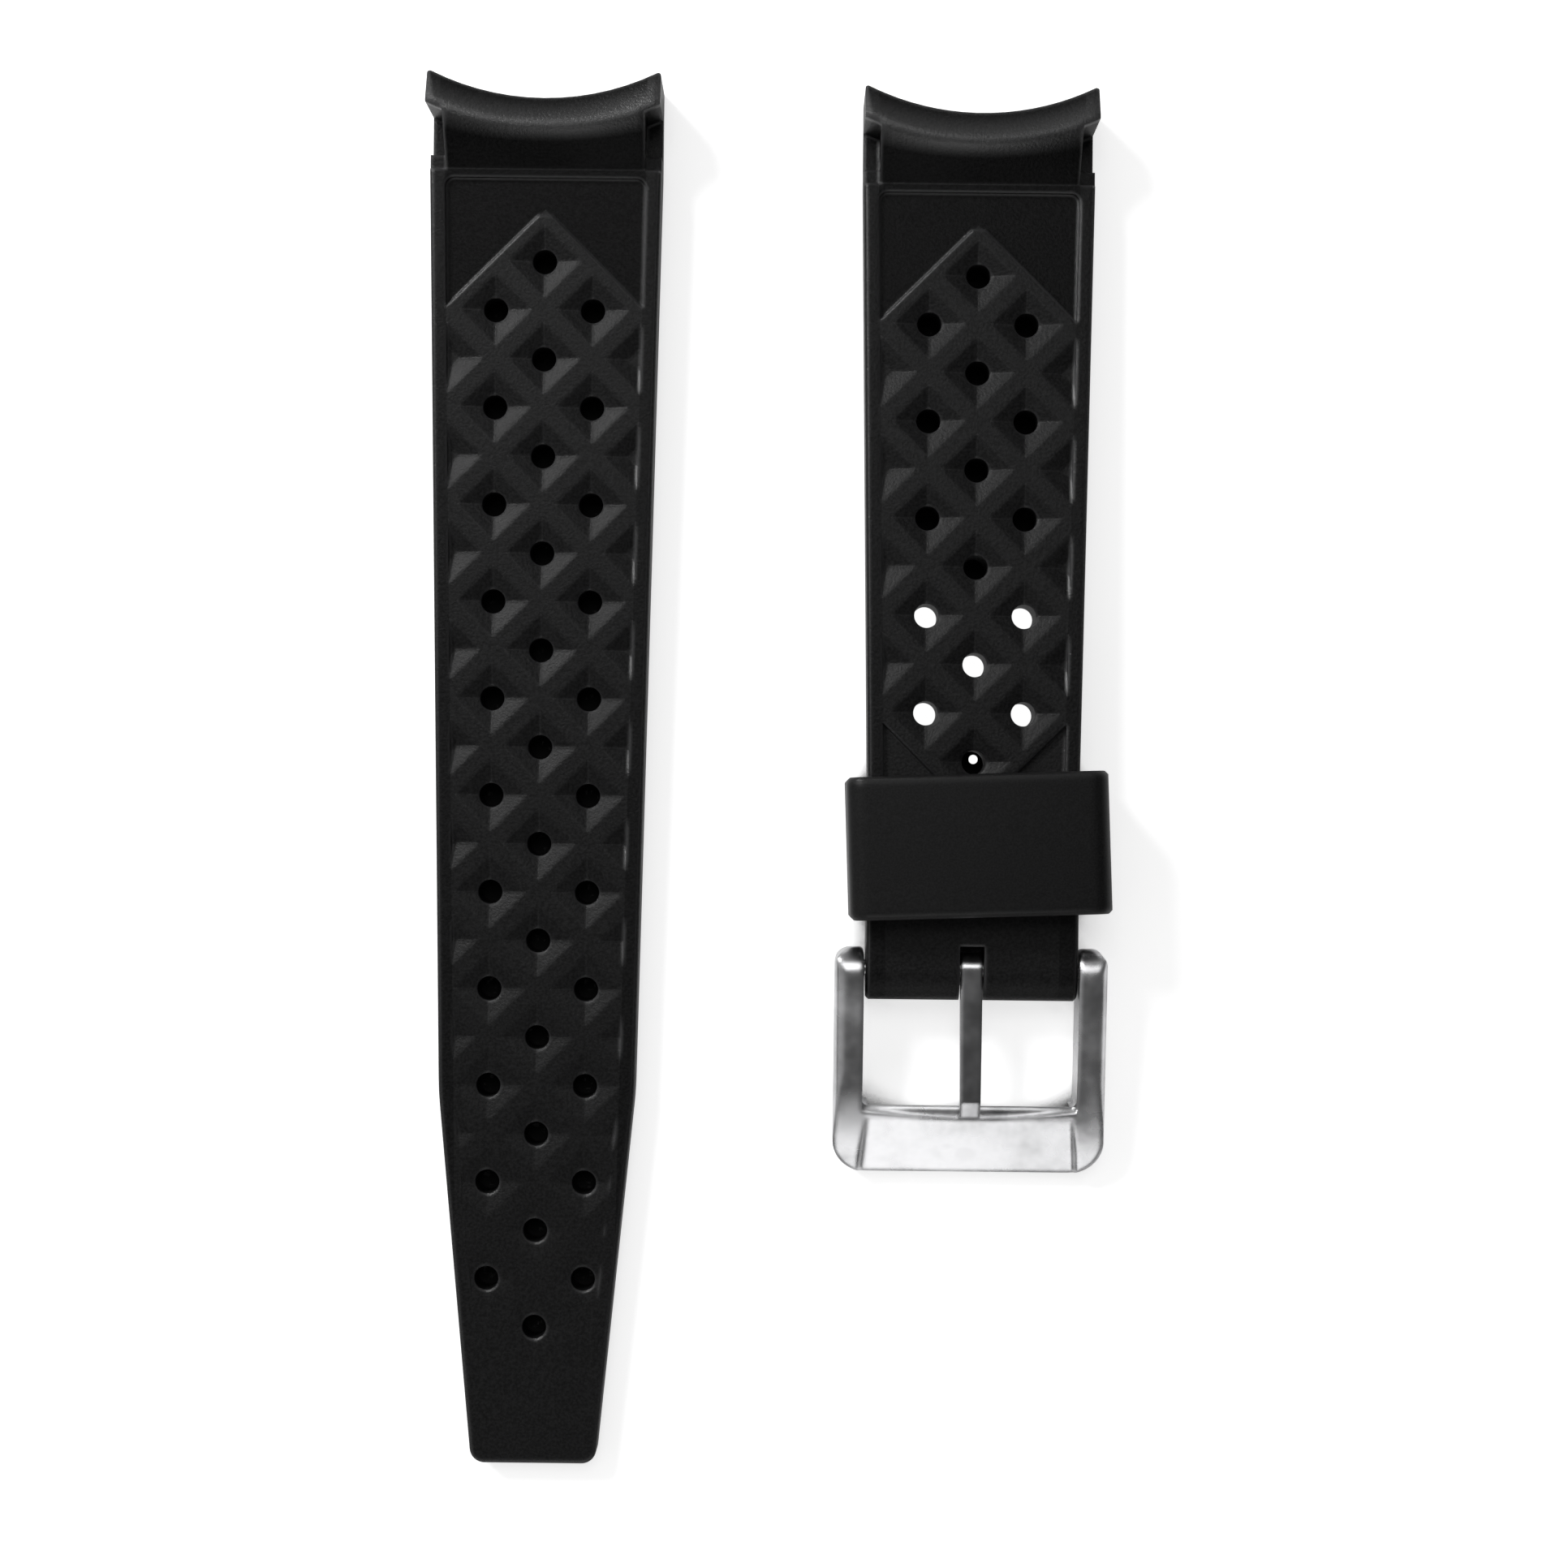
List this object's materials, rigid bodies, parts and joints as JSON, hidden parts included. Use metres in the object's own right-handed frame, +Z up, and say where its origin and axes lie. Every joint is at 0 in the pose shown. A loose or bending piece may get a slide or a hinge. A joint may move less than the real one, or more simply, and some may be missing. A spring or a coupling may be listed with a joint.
{
  "type": "watch strap",
  "caption": "Two-piece rubber dive strap with curved fitted ends, sunken diamond relief with through holes, a free keeper loop and a steel pin buckle.",
  "frame": {"origin": "middle of the laid-out strap on the plane that it lies on", "axes": "+Y along both halves towards their case ends, +X from the tail half to the buckle half, +Z up out of the outer face"},
  "size_m": [0.0592, 0.12, 0.0094],
  "materials": {
    "strap_rubber": "matt, lightly sanded moulding surface",
    "keeper_rubber": "matt",
    "buckle_steel": "satin brushed with soft polished edges",
    "spring_bar_steel": "plain turned steel"
  },
  "bodies": {
    "buckle_half": {"buckle_strap": "strap_rubber", "spring_bar_tube": "spring_bar_steel", "spring_bar_spring": "spring_bar_steel"},
    "keeper_loop": {"keeper": "keeper_rubber"},
    "frame": {"buckle_frame": "buckle_steel"},
    "tongue": {"buckle_tongue": "buckle_steel"},
    "plunger_left": {"spring_bar_plunger_left": "spring_bar_steel"},
    "plunger_right": {"spring_bar_plunger_right": "spring_bar_steel"},
    "tail_half": {"tail_strap": "strap_rubber"}
  },
  "joints": [
    {"name": "keeper_slide", "type": "slide", "parent": "buckle_half", "child": "keeper_loop", "axis": [0, 0.9998, -0.0222], "range_m": [-0.0015, 0.018]},
    {"name": "frame_hinge", "type": "hinge", "parent": "buckle_half", "child": "frame", "pos_m": [0.01787, -0.01654, 0.00358], "axis": [-1, 0, 0], "range_deg": [0, 40]},
    {"name": "tongue_hinge", "type": "hinge", "parent": "frame", "child": "tongue", "pos_m": [0.01787, -0.01654, 0.00358], "axis": [-1, 0, 0], "range_deg": [0, 65]},
    {"name": "plunger_left_slide", "type": "slide", "parent": "buckle_half", "child": "plunger_left", "axis": [1, 0, 0], "range_m": [0, 0.001], "stiffness_N_per_m": 1500, "springref_m": -0.001, "deforming": ["spring_bar_spring"]},
    {"name": "plunger_right_slide", "type": "slide", "parent": "buckle_half", "child": "plunger_right", "axis": [-1, 0, 0], "range_m": [0, 0.001], "stiffness_N_per_m": 1500, "springref_m": -0.001, "deforming": ["spring_bar_spring"]},
    {"name": "tail_half_slide", "type": "slide", "parent": "buckle_half", "child": "tail_half", "axis": [-1, 0, 0], "range_m": [0, 0.04]}
  ]
}
